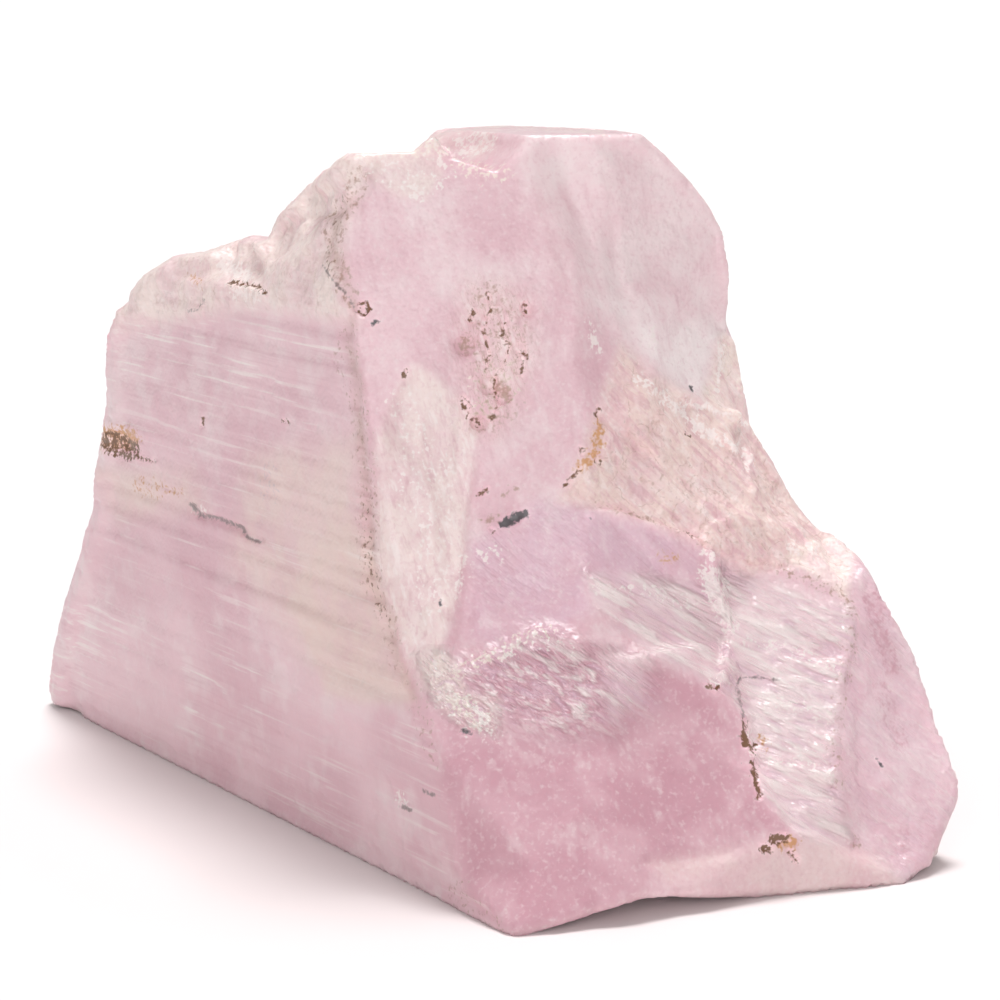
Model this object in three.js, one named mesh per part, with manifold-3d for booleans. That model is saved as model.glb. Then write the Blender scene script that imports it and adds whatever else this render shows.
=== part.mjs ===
// A rough kunzite crystal: one broken length of a striated prism, resting on its cleaved underside.
//
// Units are millimetres, +Z is up. The corner points are measured from the foot of the near ridge:
// [to the right, to the back, up]. The finished solid is then moved so that the middle of its
// footprint is at the origin and its underside is at z = 0.
//
// The crystal's long axis lies flat. It runs from the foot back to the left, along the striated face.

import * as THREE from 'three';
import { mergeVertices } from 'three/addons/utils/BufferGeometryUtils.js';
import Module from 'manifold-3d';

const wasm = await Module();
wasm.setup();

// ---- driving dimensions -------------------------------------------------------------------------

const TOP = 27.1; // height of the flat top of the rear block
const LONG_AXIS_TURN = 123.5; // degrees from +X to the long axis, seen from above
const PRISM_LENGTH = 48; // longer than the crystal, so that the striae run off its left end
const STRIA_PITCH = 0.95; // mean height of one stria on the near prism face
const STRIA_DEPTH = 0.17;
const STRIA_START = -4; // distance along the axis from the foot to where the near striae begin
const NEAR_FACE_LEAN = 1; // degrees that the near prism face leans back
const FAR_STRIA_PITCH = 1.7;
const FAR_STRIA_DEPTH = 0.3;
const FAR_STRIA_START = 4.5;
const FAR_FACE_LEAN = 2;
const FAR_FACE_OFFSET = 18.9; // from the near prism face to the far one
const NARROWEST_STRIA = 0.45; // share of the mean pitch
const WIDEST_STRIA = 1.55;
const SHALLOWEST_STRIA = 0.25; // share of the full depth
const CUTTER_THICKNESS = 8; // reaches well past every face that it cuts
const BREAK_DETAIL = 6; // subdivisions of the rounded tool
const PIT_DETAIL = 2;
const MERGE_DISTANCE = 1e-4;

// ---- corner points ------------------------------------------------------------------------------

const corners = {
  // Near ridge, where the striated face meets the broken front, from the foot up to the peak.
  foot: [0, 0, 0],
  ridgeToe: [-2.0, 3.0, 1.4],
  ridgeAnkle: [-2.4, 3.7, 3.4],
  ridgeShin: [-3.0, 4.7, 6.1],
  ridgeKnee: [-3.9, 6.2, 7.6],
  ridgeLow: [-4.6, 7.3, 10.5],
  ridgeMid: [-5.3, 8.4, 14.0],
  ridgeHigh: [-5.4, 8.8, 18.0],
  ridgeBend: [-6.2, 10.0, 21.6],
  ridgeNeck: [-6.0, 10.8, 24.3],
  peakLeft: [-6.0, 11.4, 26.4],

  // Broken left end of the striated face, from the underside up.
  sillLeft: [-20.3, 30.7, 0.2],
  endLow: [-21.2, 32.0, 0.7],
  endStep: [-20.2, 30.6, 4.9],
  endNotch: [-18.9, 28.8, 8.5],
  endLedge: [-18.3, 27.9, 10.1],
  endMid: [-17.7, 27.2, 13.7],
  endHigh: [-17.3, 26.8, 17.3],
  endShoulder: [-16.3, 25.2, 19.3],
  endTop: [-15.9, 24.6, 20.0],

  // Rough shoulder above the striated face: its lower edge, then its crest.
  shoulderEdgeLeft: [-14.2, 22.1, 20.4],
  shoulderEdgeMid: [-9.5, 15.0, 20.9],
  crestLeft: [-14.6, 25.5, 21.1],
  crestMid: [-11.9, 21.9, 21.9],
  crestBump: [-10.3, 19.9, 22.7],
  crestNotch: [-9.7, 19.0, 22.5],
  crestStep: [-9.2, 18.2, 23.6],
  crestRise: [-7.8, 15.8, 25.0],
  crestPeak: [-6.7, 13.6, 26.0],

  // Flat tip of the near peak and the flat top of the rear block.
  peakRight: [-2.3, 11.6, 26.5],
  peakFoot: [-0.4, 11.5, 25.8],
  peakBackLeft: [-5.8, 13.0, 26.5],
  peakBackRight: [-2.4, 13.2, 26.5],
  topFrontLeft: [1.0, 12.0, TOP],
  topFrontMid: [2.9, 12.3, TOP],
  topFrontRight: [4.9, 13.0, TOP],
  topBackRight: [3.6, 17.0, TOP],
  topBackLeft: [-0.6, 19.5, TOP],
  topLeft: [-2.4, 17.0, TOP],
  topLeftDrop: [-3.8, 16.5, 26.2],

  // Smooth upper front.
  breast: [-1.5, 9.8, 20.4],
  creaseTop: [2.0, 10.4, 21.5],
  creaseMid: [3.2, 9.6, 17.2],
  creaseLow: [3.2, 9.2, 15.6],
  creaseTurn: [1.9, 8.8, 14.4],
  creaseEnd: [-1.2, 8.1, 12.4],

  // Veiled facet beside the near ridge: its right-hand edge, from the top down.
  veilTop: [-3.5, 9.2, 18.9],
  veilHigh: [-2.1, 8.9, 16.2],
  veilMid: [-1.5, 8.3, 13.2],
  veilLow: [-1.8, 7.5, 10.4],
  veilEnd: [-2.2, 6.1, 8.1],

  // Hollow upper right side, bounded by the rounded right edge.
  fluteMid: [3.5, 11.8, 23.3],
  fluteLow: [4.8, 11.4, 19.7],
  hollow: [5.8, 13.0, 22.0],
  rimTop: [6.8, 14.1, 25.2],
  rimHigh: [8.1, 14.8, 23.2],
  rimMid: [8.5, 15.2, 21.6],
  rimLow: [8.3, 15.2, 19.4],
  flakeRoot: [7.2, 12.8, 17.4],
  flakeTop: [8.9, 15.4, 18.1],
  flakeLow: [9.3, 14.8, 15.7],

  // Broken slope that falls to the right.
  slopeLeft: [5.2, 10.5, 16.3],
  slopeMid: [6.7, 10.6, 14.4],
  slopeRight: [8.9, 12.2, 14.4],
  slopeLow: [9.5, 11.6, 12.6],
  slopeRim: [10.9, 14.2, 12.9],
  shelfTip: [10.4, 11.4, 10.9],
  shelfBack: [11.2, 11.9, 11.6],
  shelfRim: [12.5, 13.3, 11.7],
  shelfFront: [12.9, 11.0, 9.6],

  // Mauve facet under the slope, and the bright step at its right.
  browLeft: [2.9, 9.0, 13.9],
  browMid: [4.8, 9.4, 13.2],
  browRight: [7.2, 9.8, 12.0],
  stepMid: [7.3, 9.2, 10.4],
  stepLow: [8.2, 9.4, 8.5],
  stepBack: [8.1, 10.8, 10.6],

  // Large lower facet: its upper edge from left to right, then down its right edge.
  apronLeft: [-1.2, 6.2, 8.4],
  apronMid: [2.3, 6.4, 9.0],
  apronCrease: [3.3, 6.5, 8.4],
  apronRise: [5.1, 6.9, 8.6],
  apronRight: [7.5, 7.2, 7.2],
  apronCorner: [8.6, 7.1, 6.1],
  apronSide: [8.8, 6.0, 4.5],
  apronEnd: [10.0, 5.0, 2.5],
  apronToe: [0.8, 1.6, 2.0],
  apronBelly: [3.2, 3.6, 4.6],
  underLeft: [4.6, 1.6, 0.9],
  underMid: [6.1, 2.5, 0.7],
  underRight: [9.9, 4.6, 0],

  // Foot of the low cliff at the right of the lower facet.
  cliffTop: [7.8, 7.5, 7.2],
  cliffCorner: [9.0, 8.1, 5.9],
  cliffSide: [9.5, 7.5, 4.0],
  cliffEnd: [10.4, 5.8, 2.4],

  // Right end.
  endEdgeHigh: [12.7, 10.1, 8.3],
  endEdgeMid: [12.7, 8.8, 6.3],
  endEdgeLow: [12.1, 7.0, 3.7],
  endEdgeFoot: [12.9, 6.5, 1.1],
  heelTop: [13.4, 12.2, 11.0],
  heelHigh: [15.4, 11.2, 7.5],
  heelMid: [16.3, 10.0, 4.9],
  heelOut: [16.9, 9.0, 2.8],
  heelLow: [15.8, 7.2, 0.9],
  baseRight: [14.7, 5.9, 0],

  // Underside.
  baseLeft: [-18.2, 26.0, 0],
  baseCrook: [4.7, 4.6, 0],
  baseHeel: [15.9, 9.8, 0],
  baseFarRight: [13.8, 13.6, 0],
  baseFar: [5.0, 26.6, 0],
  baseBack: [-4.0, 32.4, 0],
  baseBackLeft: [-14.2, 34.2, 0],
  baseEnd: [-19.8, 32.8, 0],

  // Far side, low.
  farRight: [14.0, 14.0, 8.5],
  farRightHigh: [9.6, 20.0, 13.2],
  farMid: [4.6, 26.2, 11.4],
  farBack: [-4.4, 31.4, 9.6],
  farBackLeft: [-13.3, 33.2, 8.2],
  farEnd: [-19.0, 32.8, 5.0],

  // Far side, high.
  backRight: [8.7, 18.6, 18.2],
  backMid: [2.6, 23.6, 18.6],
  backLeft: [-6.0, 27.4, 16.8],
  backEnd: [-13.0, 29.8, 14.8],
  backEdge: [-16.6, 30.2, 11.8],
  backRim: [6.6, 18.6, 23.4],
  backFold: [-1.4, 22.4, 22.4],
  saddle: [-6.6, 19.8, 21.8],
  backCrest: [-11.2, 25.4, 19.8],
  cleftLeft: [-4.6, 14.4, 24.8],
  cleftRight: [-1.8, 14.0, 25.2],
};

// ---- facets -------------------------------------------------------------------------------------
// Each facet lists its corners anticlockwise, as seen from outside the crystal.

const facets = {
  nearPrism: `ridgeBend shoulderEdgeMid shoulderEdgeLeft endTop endShoulder endHigh endMid endLedge
    endNotch endStep endLow sillLeft foot ridgeToe ridgeAnkle ridgeShin ridgeKnee ridgeLow ridgeMid
    ridgeHigh`,
  sill: 'foot sillLeft baseLeft',
  shoulderLeft: 'endTop shoulderEdgeLeft shoulderEdgeMid crestNotch crestBump crestMid crestLeft',
  shoulderRight: `shoulderEdgeMid ridgeBend ridgeNeck peakLeft crestPeak crestRise crestStep
    crestNotch`,

  frontHigh: 'peakLeft ridgeNeck ridgeBend ridgeHigh veilTop breast peakRight',
  frontRight: 'peakRight breast creaseTop topFrontLeft peakFoot',
  frontLeft: 'veilTop veilHigh breast',
  frontLow: 'veilHigh veilMid creaseEnd creaseTurn creaseLow creaseMid breast',
  frontSide: 'breast creaseMid creaseTop',
  veil: 'ridgeHigh ridgeMid ridgeLow ridgeKnee veilEnd veilLow veilMid veilHigh veilTop',

  mauveLeft: 'veilMid veilLow veilEnd apronLeft apronMid browLeft creaseTurn creaseEnd',
  mauveRight: 'browLeft apronMid apronCrease apronRise stepLow stepMid browRight browMid',
  brightStep: 'browRight stepMid stepLow stepBack',
  toe: 'foot underLeft apronToe ridgeToe',
  apronUpper: `ridgeToe apronToe apronBelly apronCrease apronMid apronLeft veilEnd ridgeKnee
    ridgeShin ridgeAnkle`,
  apronFold: 'apronToe underLeft apronBelly',
  apronFront: `underLeft underMid underRight apronEnd apronSide apronCorner apronRight apronRise
    apronCrease apronBelly`,
  cliffUpper: 'apronRight apronCorner cliffCorner cliffTop',
  cliffMiddle: 'apronCorner apronSide cliffSide cliffCorner',
  cliffLower: 'apronSide apronEnd cliffEnd cliffSide',
  cliffLedge: 'apronRise apronRight cliffTop stepLow',
  silky: `stepLow cliffTop cliffCorner cliffSide cliffEnd endEdgeFoot endEdgeLow endEdgeMid
    endEdgeHigh shelfFront shelfTip stepBack`,
  hem: 'apronEnd underRight baseRight endEdgeFoot cliffEnd',
  rightEnd: `shelfFront endEdgeHigh endEdgeMid endEdgeLow endEdgeFoot baseRight heelLow heelOut
    heelMid heelHigh heelTop`,

  shelf: 'shelfTip shelfFront heelTop shelfBack',
  shelfSide: 'shelfBack heelTop shelfRim',
  shelfRoot: 'slopeLow shelfTip shelfBack',
  slopeOuter: 'slopeLow shelfBack shelfRim slopeRim',
  slopeStep: 'browRight stepBack shelfTip slopeLow',
  slopeBrow: 'browMid browRight slopeLow slopeMid',
  slopeInner: 'browLeft browMid slopeMid slopeLeft',
  slopeCrease: 'creaseMid creaseLow creaseTurn browLeft slopeLeft',
  slopeHigh: 'creaseTop creaseMid slopeLeft fluteLow',
  slopeFlake: 'slopeLeft slopeMid slopeRight flakeRoot fluteLow',
  slopeCentre: 'slopeMid slopeLow slopeRight',
  slopeEdge: 'slopeRight slopeLow slopeRim flakeLow',
  flakeBase: 'flakeRoot slopeRight flakeLow',
  flake: 'rimLow flakeRoot flakeLow flakeTop',

  fluteLeft: 'topFrontLeft creaseTop fluteLow fluteMid topFrontMid',
  fluteRight: 'topFrontMid fluteMid hollow rimTop topFrontRight',
  fluteFoot: 'fluteMid fluteLow hollow',
  hollowLow: 'hollow fluteLow flakeRoot rimLow rimMid',
  hollowHigh: 'hollow rimMid rimHigh rimTop',

  top: 'topFrontLeft topFrontMid topFrontRight topBackRight topBackLeft topLeft',
  peakTip: 'peakLeft peakRight peakBackRight peakBackLeft',
  peakBack: 'peakBackLeft peakBackRight cleftRight cleftLeft',
  peakSide: 'peakRight peakFoot cleftRight peakBackRight',
  peakEdge: 'crestPeak peakLeft peakBackLeft cleftLeft',
  blockFace: 'peakFoot topFrontLeft topLeft topLeftDrop cleftRight',
  blockSide: 'topLeft topBackLeft backFold topLeftDrop',
  cleft: 'cleftLeft cleftRight topLeftDrop backFold saddle',

  crestBack: 'crestRise crestPeak cleftLeft saddle',
  crestHollow: 'crestNotch crestStep crestRise saddle',
  crestSlope: 'crestMid crestBump crestNotch saddle backCrest',
  crestEnd: 'crestLeft crestMid backCrest',

  endFoot: 'sillLeft endLow baseEnd baseLeft',
  endLower: 'endLow endStep farEnd baseEnd',
  endMiddle: 'endStep endNotch endLedge backEdge farEnd',
  endUpper: 'endLedge endMid endHigh backEnd backEdge',
  endCrown: 'endHigh endShoulder endTop crestLeft backCrest backEnd',

  farEndLow: 'baseEnd farEnd farBackLeft baseBackLeft',
  farLeftLow: 'baseBackLeft farBackLeft farBack baseBack',
  farMidLow: 'baseBack farBack farMid baseFar',
  farPrism: 'baseFar farMid farRightHigh farRight baseFarRight',
  heelBack: 'baseFarRight farRight heelOut baseHeel',
  heelOuter: 'baseHeel heelOut heelLow',
  heelInner: 'baseHeel heelLow baseRight',

  farEndHigh: 'farEnd backEdge backEnd farBackLeft',
  farLeftHigh: 'farBackLeft backEnd backLeft farBack',
  farMidHigh: 'farBack backLeft backMid farMid',
  farRightSlope: 'farMid backMid backRight farRightHigh',
  heelSide: 'heelTop heelHigh heelMid heelOut farRight farRightHigh',
  shelfFar: 'slopeRim shelfRim heelTop farRightHigh',
  rimFar: 'flakeLow slopeRim farRightHigh backRight',
  flakeFar: 'rimLow flakeTop flakeLow backRight',
  rimSide: 'rimHigh rimMid rimLow backRight backRim',
  rimTopSide: 'topFrontRight rimTop rimHigh backRim topBackRight',
  backHigh: 'topBackRight backRim backRight backMid backFold topBackLeft',
  backSlope: 'backCrest saddle backFold backMid backLeft backEnd',

  hemUnderLeft: 'underLeft foot baseCrook',
  hemUnderMid: 'underLeft baseCrook underMid',
  hemUnderRight: 'underMid baseCrook underRight',
  underside: `baseLeft baseEnd baseBackLeft baseBack baseFar baseFarRight baseHeel baseRight
    underRight baseCrook foot`,
};

// ---- helpers ------------------------------------------------------------------------------------

const radians = THREE.MathUtils.degToRad;
const lerp = THREE.MathUtils.lerp;
const namesOf = (facet) => facet.trim().split(/\s+/);
const corner = (name) => new THREE.Vector3(...corners[name]);

// Mean outward normal of a loop of points.
function loopNormal(points) {
  const normal = new THREE.Vector3();
  points.forEach((point, i) => {
    const next = points[(i + 1) % points.length];
    normal.add(new THREE.Vector3().crossVectors(point, next));
  });
  return normal.normalize();
}

// Triangles of one facet, cut in its own mean plane.
function facetTriangles(facet) {
  const names = namesOf(facet);
  const points = names.map(corner);
  const normal = loopNormal(points);
  const across = new THREE.Vector3().subVectors(points[1], points[0]);
  across.addScaledVector(normal, -across.dot(normal)).normalize();
  const along = new THREE.Vector3().crossVectors(normal, across);
  const flat = points.map((p) => new THREE.Vector2(p.dot(across), p.dot(along)));
  return THREE.ShapeUtils.triangulateShape(flat, []).map((tri) => tri.map((i) => names[i]));
}

// The plain faceted body, before it is broken and striated.
function facetedBody() {
  const order = Object.keys(corners);
  const position = order.flatMap((name) => corners[name]);
  const index = Object.values(facets)
    .flatMap(facetTriangles)
    .flatMap((tri) => tri.map((name) => order.indexOf(name)));
  const geometry = new THREE.BufferGeometry();
  geometry.setAttribute('position', new THREE.Float32BufferAttribute(position, 3));
  geometry.setIndex(index);
  return geometry;
}

function toSolid(geometry) {
  const bare = geometry.clone();
  bare.deleteAttribute('normal');
  bare.deleteAttribute('uv');
  const merged = mergeVertices(bare, MERGE_DISTANCE);
  return new wasm.Manifold(new wasm.Mesh({
    numProp: 3,
    vertProperties: new Float32Array(merged.attributes.position.array),
    triVerts: new Uint32Array(merged.index.array),
  }));
}

function toGeometry(solid) {
  const mesh = solid.getMesh();
  const geometry = new THREE.BufferGeometry();
  geometry.setAttribute('position', new THREE.Float32BufferAttribute(mesh.vertProperties, 3));
  geometry.setIndex([...mesh.triVerts]);
  geometry.computeVertexNormals();
  return geometry;
}

// A repeatable value from 0 to 1 for stria number i.
const uneven = (i, seed) => (Math.sin(i * 12.9898 + seed * 78.233) * 43758.5453) % 1 / 2 + 0.5;

// ---- striae -------------------------------------------------------------------------------------

// A slab outside a prism face, whose inner side has the saw-tooth section of the striae. Its section
// lies in (outward, up) and is extruded along the long axis.
function striaCutter({ pitch, depth, lean, offset, facing, from, seed }) {
  const slope = Math.tan(radians(lean));
  const section = new THREE.Shape();
  let height = -1;
  section.moveTo(CUTTER_THICKNESS, height);
  for (let i = 0; height < TOP + 1; i += 1) {
    const bite = depth * lerp(SHALLOWEST_STRIA, 1, uneven(i, seed));
    section.lineTo(-height * slope - bite, height);
    height += pitch * lerp(NARROWEST_STRIA, WIDEST_STRIA, uneven(i, seed + 1));
    section.lineTo(-height * slope, height);
  }
  section.lineTo(CUTTER_THICKNESS, height);
  section.closePath();
  const slab = new THREE.ExtrudeGeometry(section, { depth: PRISM_LENGTH, bevelEnabled: false });
  // Section x becomes outward, section y becomes up, and the extrusion runs along the long axis.
  const turn = radians(LONG_AXIS_TURN);
  const axis = new THREE.Vector3(Math.cos(turn), Math.sin(turn), 0);
  const up = new THREE.Vector3(0, 0, 1);
  const run = axis.clone().multiplyScalar(facing);
  const outward = new THREE.Vector3().crossVectors(up, run);
  slab.applyMatrix4(new THREE.Matrix4().makeBasis(outward, up, run));
  const start = axis.clone().multiplyScalar(facing > 0 ? from : from + PRISM_LENGTH);
  slab.translate(start.x + outward.x * offset, start.y + outward.y * offset, 0);
  return toSolid(slab);
}

const nearStriae = striaCutter({
  pitch: STRIA_PITCH,
  depth: STRIA_DEPTH,
  lean: NEAR_FACE_LEAN,
  offset: 0,
  facing: 1,
  from: STRIA_START,
  seed: 3,
});

const farStriae = striaCutter({
  pitch: FAR_STRIA_PITCH,
  depth: FAR_STRIA_DEPTH,
  lean: FAR_FACE_LEAN,
  offset: FAR_FACE_OFFSET,
  facing: -1,
  from: FAR_STRIA_START,
  seed: 8,
});

// ---- shell-shaped breaks and pits ---------------------------------------------------------------

// A rounded tool that dips by "depth" below the surface point "at", square to the facet "on". It is
// drawn out by "stretch" in the direction "along".
function scoop({ on, at, radius, depth, stretch = 1, along = [0, 0, 1], detail = BREAK_DETAIL }) {
  const normal = loopNormal(namesOf(facets[on]).map(corner));
  const run = new THREE.Vector3(...along);
  run.addScaledVector(normal, -run.dot(normal)).normalize();
  const side = new THREE.Vector3().crossVectors(run, normal);
  const ball = new THREE.IcosahedronGeometry(radius, detail);
  ball.scale(1, stretch, 1);
  ball.applyMatrix4(new THREE.Matrix4().makeBasis(side, run, normal));
  const centre = new THREE.Vector3(...at).addScaledVector(normal, radius - depth);
  ball.translate(centre.x, centre.y, centre.z);
  return toSolid(ball);
}

const FLUTE_RUN = [0.4, 0.05, -0.9]; // down the upper right side
const SILK_RUN = [0.93, 0.1, -0.36]; // the silky face's steps dip to the right
const SHELL_RUN = [0.7, 0.4, -0.6]; // down the broken slope
const AXIS_RUN = [-0.552, 0.834, 0]; // the crystal's long axis

const breaks = [
  // Broad hollow of the upper right side, and the flutes that run down beside it.
  { on: 'fluteRight', at: [5.6, 13.1, 23.1], radius: 12, depth: 0.4 },
  { on: 'hollowLow', at: [6.8, 13.2, 19.3], radius: 9, depth: 0.4 },
  { on: 'fluteLeft', at: [2.2, 11.9, 24.8], radius: 1.8, depth: 0.2, stretch: 5, along: FLUTE_RUN },
  { on: 'fluteLeft', at: [3.3, 11.8, 23.2], radius: 1.5, depth: 0.2, stretch: 5, along: FLUTE_RUN },
  // Shells on the broken slope.
  { on: 'slopeFlake', at: [7.0, 11.5, 15.5], radius: 5.5, depth: 0.4, stretch: 1.4, along: SHELL_RUN },
  { on: 'slopeInner', at: [5.0, 9.8, 14.6], radius: 4, depth: 0.3, stretch: 1.7, along: SILK_RUN },
  { on: 'slopeHigh', at: [3.8, 10.1, 17.6], radius: 4.5, depth: 0.2, stretch: 2.2, along: FLUTE_RUN },
  { on: 'slopeEdge', at: [9.6, 13.7, 14.2], radius: 4.5, depth: 0.3, stretch: 1.5, along: FLUTE_RUN },
  { on: 'slopeOuter', at: [11.1, 12.6, 12.2], radius: 3.5, depth: 0.2 },
  // Long steps of the silky face.
  { on: 'silky', at: [10.9, 9.8, 8.2], radius: 1.1, depth: 0.14, stretch: 3.2, along: SILK_RUN },
  { on: 'silky', at: [11.2, 8.1, 5.6], radius: 1.1, depth: 0.14, stretch: 2.8, along: SILK_RUN },
  { on: 'silky', at: [11.4, 6.8, 3.4], radius: 1.0, depth: 0.12, stretch: 2.4, along: SILK_RUN },
  // Right end.
  { on: 'rightEnd', at: [14.7, 9.9, 6.0], radius: 12, depth: 0.25, stretch: 1.3 },
  { on: 'heelSide', at: [14.2, 12.8, 8.9], radius: 9, depth: 0.35 },
  // Veiled facet and the mauve facet beside it.
  { on: 'veil', at: [-3.5, 7.7, 13.4], radius: 5, depth: 0.2, stretch: 2.0 },
  { on: 'mauveLeft', at: [1.1, 7.6, 11.2], radius: 8, depth: 0.25, stretch: 1.2, along: SILK_RUN },
  // Rough shoulder above the striated face.
  { on: 'shoulderRight', at: [-7.3, 14.1, 24.5], radius: 3, depth: 0.3 },
  { on: 'shoulderRight', at: [-8.6, 16.0, 23.2], radius: 2.6, depth: 0.3 },
  { on: 'shoulderRight', at: [-7.0, 11.6, 22.5], radius: 2.6, depth: 0.25 },
  { on: 'shoulderLeft', at: [-13.3, 22.9, 21.3], radius: 3, depth: 0.2, stretch: 1.6, along: AXIS_RUN },
  { on: 'shoulderLeft', at: [-10.9, 19.7, 21.9], radius: 2.2, depth: 0.22 },
  // Broken left end.
  { on: 'endMiddle', at: [-18.3, 30.2, 8.4], radius: 4, depth: 0.35 },
  { on: 'endUpper', at: [-15.6, 28.9, 13.6], radius: 7, depth: 0.4 },
  { on: 'endLower', at: [-19.7, 32.4, 3.1], radius: 5, depth: 0.3 },
  // Far side.
  { on: 'farMidHigh', at: [-1.3, 27.9, 13.6], radius: 16, depth: 0.9 },
  { on: 'farLeftHigh', at: [-9.5, 30.8, 11.6], radius: 12, depth: 0.7 },
  { on: 'backHigh', at: [2.0, 21.1, 21.0], radius: 12, depth: 0.8 },
  { on: 'backSlope', at: [-4.9, 25.3, 19.3], radius: 14, depth: 0.9 },
  { on: 'backSlope', at: [-10.6, 27.5, 17.2], radius: 7, depth: 0.5 },
  { on: 'backSlope', at: [-7.8, 20.8, 21.6], radius: 6, depth: 0.4 },
  { on: 'rimFar', at: [9.3, 17.2, 15.1], radius: 8, depth: 0.5 },
  { on: 'rimSide', at: [8.0, 17.2, 21.4], radius: 9, depth: 0.5 },
  { on: 'farPrism', at: [10.1, 19.4, 8.1], radius: 14, depth: 0.5 },
  { on: 'farLeftLow', at: [-9.8, 33.0, 4.3], radius: 14, depth: 0.6, stretch: 1.5, along: [1, 0, 0] },
];

// Small pits: a cluster in the upper front, and a few single ones.
const pits = [
  { on: 'frontSide', at: [-1.7, 9.6, 19.5], radius: 0.5, depth: 0.3 },
  { on: 'frontHigh', at: [-1.2, 9.8, 20.5], radius: 0.42, depth: 0.22 },
  { on: 'frontRight', at: [-0.6, 10.1, 21.2], radius: 0.35, depth: 0.18 },
  { on: 'frontRight', at: [0.6, 10.1, 20.8], radius: 0.4, depth: 0.2 },
  { on: 'frontSide', at: [0.3, 9.8, 19.4], radius: 0.32, depth: 0.16 },
  { on: 'frontLow', at: [-0.8, 9.4, 18.1], radius: 0.5, depth: 0.28 },
  { on: 'frontLow', at: [-0.3, 9.4, 17.7], radius: 0.4, depth: 0.2 },
  { on: 'frontLow', at: [-1.2, 9.1, 16.7], radius: 0.42, depth: 0.22 },
  { on: 'frontHigh', at: [-5.5, 9.7, 20.9], radius: 0.35, depth: 0.18 },
  { on: 'nearPrism', at: [-16.6, 25.4, 13.2], radius: 0.6, depth: 0.25 },
  { on: 'mauveLeft', at: [0.1, 8.4, 13.3], radius: 0.5, depth: 0.2 },
];

// ---- the crystal --------------------------------------------------------------------------------

function kunziteCrystal() {
  let solid = toSolid(facetedBody());
  solid = solid.subtract(nearStriae).subtract(farStriae);
  for (const shape of breaks) {
    solid = solid.subtract(scoop(shape));
  }
  for (const shape of pits) {
    solid = solid.subtract(scoop({ ...shape, detail: PIT_DETAIL }));
  }
  const geometry = toGeometry(solid);
  geometry.computeBoundingBox();
  const { min, max } = geometry.boundingBox;
  geometry.translate(-(min.x + max.x) / 2, -(min.y + max.y) / 2, -min.z);
  const material = new THREE.MeshStandardMaterial({ color: 0xe2c4ce, roughness: 0.3, metalness: 0 });
  const crystal = new THREE.Mesh(geometry, material);
  crystal.name = 'kunzite_crystal';
  return crystal;
}

const object = new THREE.Group();
object.add(kunziteCrystal());

export default object;
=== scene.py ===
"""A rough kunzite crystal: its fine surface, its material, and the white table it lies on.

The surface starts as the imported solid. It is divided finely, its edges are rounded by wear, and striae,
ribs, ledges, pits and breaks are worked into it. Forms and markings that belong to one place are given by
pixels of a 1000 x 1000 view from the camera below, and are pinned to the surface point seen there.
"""

import math

import bpy
import numpy as np
from mathutils import Euler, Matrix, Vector
from mathutils.bvhtree import BVHTree


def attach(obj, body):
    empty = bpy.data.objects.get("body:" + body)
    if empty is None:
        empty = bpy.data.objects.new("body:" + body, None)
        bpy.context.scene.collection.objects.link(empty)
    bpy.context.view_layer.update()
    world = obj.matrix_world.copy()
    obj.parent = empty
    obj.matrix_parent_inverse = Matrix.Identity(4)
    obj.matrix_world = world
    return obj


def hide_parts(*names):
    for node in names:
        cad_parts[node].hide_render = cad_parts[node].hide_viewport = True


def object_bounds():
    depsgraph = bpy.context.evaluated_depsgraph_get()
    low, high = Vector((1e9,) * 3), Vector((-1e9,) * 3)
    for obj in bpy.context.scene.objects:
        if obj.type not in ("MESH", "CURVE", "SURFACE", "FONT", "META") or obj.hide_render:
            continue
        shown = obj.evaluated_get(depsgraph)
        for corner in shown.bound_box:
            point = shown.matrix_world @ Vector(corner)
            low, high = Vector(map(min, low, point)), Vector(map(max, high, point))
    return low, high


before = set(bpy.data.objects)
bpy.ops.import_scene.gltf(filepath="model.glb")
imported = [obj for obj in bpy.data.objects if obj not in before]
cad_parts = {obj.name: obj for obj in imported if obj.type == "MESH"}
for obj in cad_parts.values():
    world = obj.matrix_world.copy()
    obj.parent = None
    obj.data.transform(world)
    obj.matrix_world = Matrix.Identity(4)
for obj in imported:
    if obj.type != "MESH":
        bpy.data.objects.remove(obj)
cad_low, cad_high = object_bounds()

# ---- sizes, in millimetres unless a name says otherwise -----------------------------------------

MM = 0.001
IMAGE_SIDE = 1000
LENS = 100
SENSOR = 36
CAMERA_PLACE = np.array([1.697, -109.17, 33.0])
CAMERA_TILT = 10.72  # degrees below the horizon
LONG_AXIS_TURN = 123.5  # degrees from +X to the crystal's long axis
PIXELS_PER_MM = 29.0  # at the crystal

EVEN_EDGE = 0.4  # spacing of the even mesh that is divided further
NEAR_EDGE = 0.3  # longest edge on the near faces
FAR_EDGE = 0.9
MARKED_EDGE = 0.17  # longest edge beside a marking
THIN_EDGE = 0.08  # and beside one that is thinner than THIN_MARK
THIN_MARK = 3.6  # half width in pixels
OUTLINE_REACH = 9  # pixels to each side of the outline that are divided like a marking
DIVIDE_ROUNDS = 5
MARK_REACH = 2.0  # pixels round a marking that are divided as finely
MARK_DEPTH = 6.0  # pixels over which a marking's field falls from its edge

axis_turn = math.radians(LONG_AXIS_TURN)
long_axis = np.array([math.cos(axis_turn), math.sin(axis_turn), 0.0])
near_normal = np.array([-long_axis[1], long_axis[0], 0.0])
silk_run = np.array([0.88, 0.1, -0.47])

# ---- the camera as numbers ----------------------------------------------------------------------

FOCAL = LENS / SENSOR * IMAGE_SIDE
tilt = math.radians(CAMERA_TILT)
view_forward = np.array([0.0, math.cos(tilt), -math.sin(tilt)])
view_up = np.array([0.0, math.sin(tilt), math.cos(tilt)])


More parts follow.
